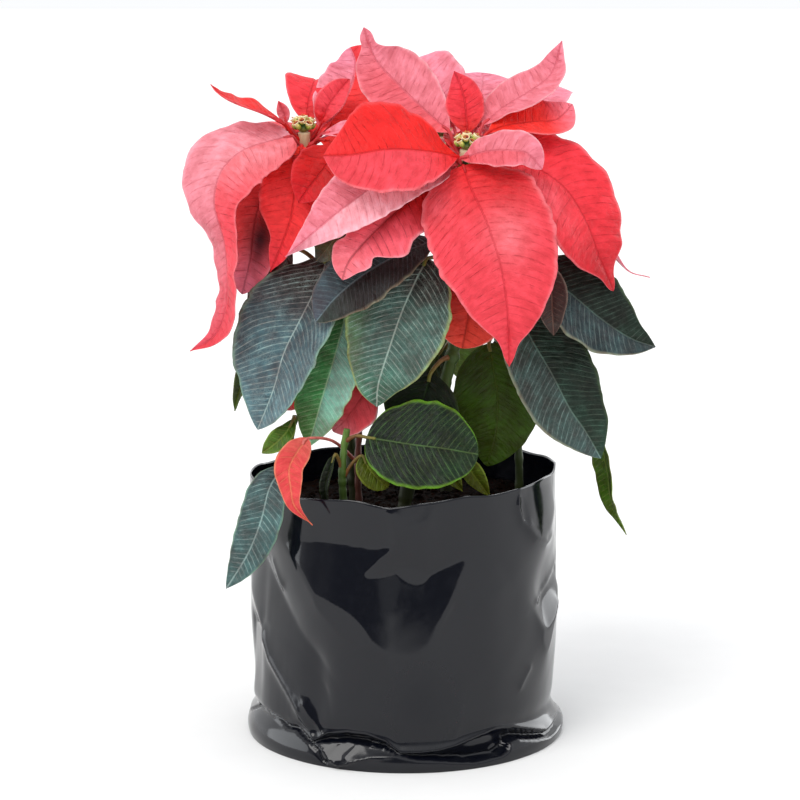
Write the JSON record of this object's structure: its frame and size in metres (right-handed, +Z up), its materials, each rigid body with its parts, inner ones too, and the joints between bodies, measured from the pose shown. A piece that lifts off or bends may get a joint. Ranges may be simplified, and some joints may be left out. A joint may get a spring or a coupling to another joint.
{
  "type": "potted poinsettia in a soft grow bag",
  "caption": "Poinsettia with drooping red bracts over dark green veined leaves, standing in a creased black polythene grow bag of soil.",
  "frame": {"origin": "middle of the bag's flat underside, on the surface that it stands on", "axes": "+Z up along the stems, -Y towards the front of the plant, +X to its right"},
  "size_m": [0.2864, 0.2584, 0.4433],
  "materials": {
    "bag_film": "glossy creased black polythene film",
    "soil": "damp dark brown potting compost",
    "leaf": "satin dark green leaf with pale veins",
    "bract": "soft satin coral red with quilted veins",
    "cyathia": "waxy yellow-green buds with red stamens"
  },
  "bodies": {
    "root": {"grow_bag": "bag_film", "soil": "soil", "leafy_stem_front": "leaf", "leafy_stem_left": "leaf", "leafy_stem_back": "leaf", "leafy_stem_right": "leaf", "low_shoot_front": "leaf", "low_shoot_left": "leaf", "low_shoot_red": "bract", "bracts_front": "bract", "bracts_left": "bract", "bracts_back": "bract", "cyathia_front": "cyathia", "cyathia_left": "cyathia", "cyathia_back": "cyathia"}
  },
  "joints": []
}
